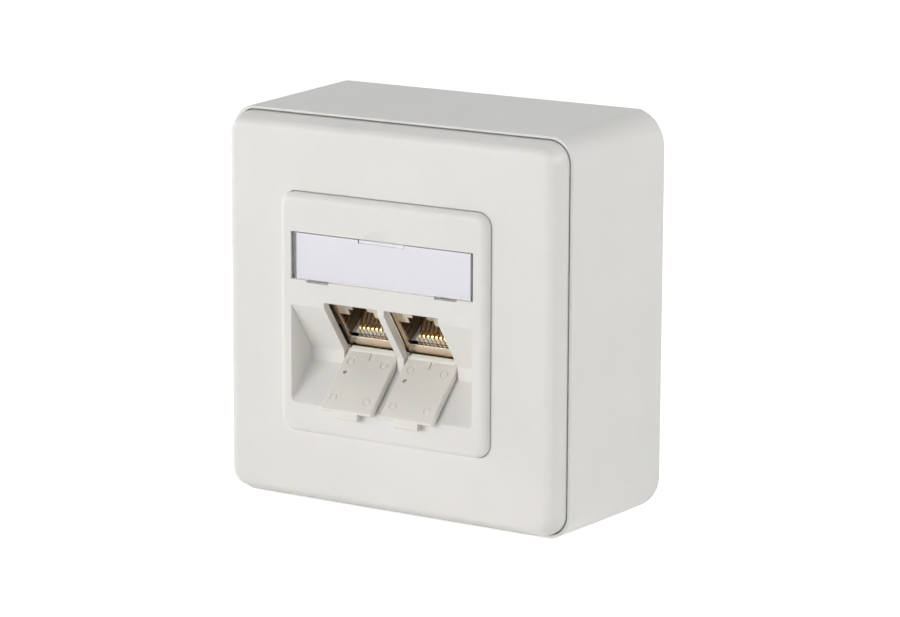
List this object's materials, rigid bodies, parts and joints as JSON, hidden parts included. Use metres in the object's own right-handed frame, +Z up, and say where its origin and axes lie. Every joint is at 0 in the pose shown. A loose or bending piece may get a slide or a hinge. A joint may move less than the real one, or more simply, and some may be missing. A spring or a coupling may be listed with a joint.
{
  "type": "surface mount jack box",
  "caption": "Square white surface mount wall box with a raised centre plate, a clear label window, and slanted modular jacks behind hinged shutters.",
  "frame": {"origin": "centre of the housing's back, in the plane that lies on the wall", "axes": "+X to the viewer's right, +Y from the front into the wall, +Z up; the front faces -Y"},
  "size_m": [0.0838, 0.0435, 0.0838],
  "materials": {
    "white_plastic": "satin moulded",
    "shutter_plastic": "fine matt moulded",
    "label_paper": "plain uncoated paper card",
    "clear_window": "clear polished plastic",
    "zinc_diecast": "nickel-plated die-cast zinc",
    "screw_steel": "bright zinc plated",
    "insert_plastic": "natural glass-filled plastic",
    "gold_contact": "gold-plated spring bronze",
    "circuit_board": "solder-masked laminate",
    "terminal_plastic": "natural moulded plastic",
    "blade_bronze": "tin-plated bronze"
  },
  "bodies": {
    "box": {"surface_housing": "white_plastic", "front_frame": "white_plastic", "centre_plate": "white_plastic", "plate_screw": "screw_steel", "label_insert": "label_paper", "module_carrier": "zinc_diecast", "carrier_screws": "screw_steel", "jack_shell_left": "zinc_diecast", "jack_insert_left": "insert_plastic", "jack_contacts_left": "gold_contact", "jack_board_left": "circuit_board", "jack_terminals_left": "terminal_plastic", "jack_blades_left": "blade_bronze", "jack_cap_left": "zinc_diecast", "jack_shell_right": "zinc_diecast", "jack_insert_right": "insert_plastic", "jack_contacts_right": "gold_contact", "jack_board_right": "circuit_board", "jack_terminals_right": "terminal_plastic", "jack_blades_right": "blade_bronze", "jack_cap_right": "zinc_diecast"},
    "shutter_left": {"shutter_left": "shutter_plastic"},
    "shutter_right": {"shutter_right": "shutter_plastic"},
    "label_window": {"label_window": "clear_window"}
  },
  "joints": [
    {"name": "shutter_left_hinge", "type": "hinge", "parent": "box", "child": "shutter_left", "pos_m": [-0.0073, -0.03233, -0.00835], "axis": [-1, 0, 0], "range_deg": [0, 92]},
    {"name": "shutter_right_hinge", "type": "hinge", "parent": "box", "child": "shutter_right", "pos_m": [0.0073, -0.03233, -0.00835], "axis": [-1, 0, 0], "range_deg": [0, 92]},
    {"name": "label_window_slide", "type": "slide", "parent": "box", "child": "label_window", "axis": [0, -1, 0], "range_m": [0, 0.008]}
  ]
}
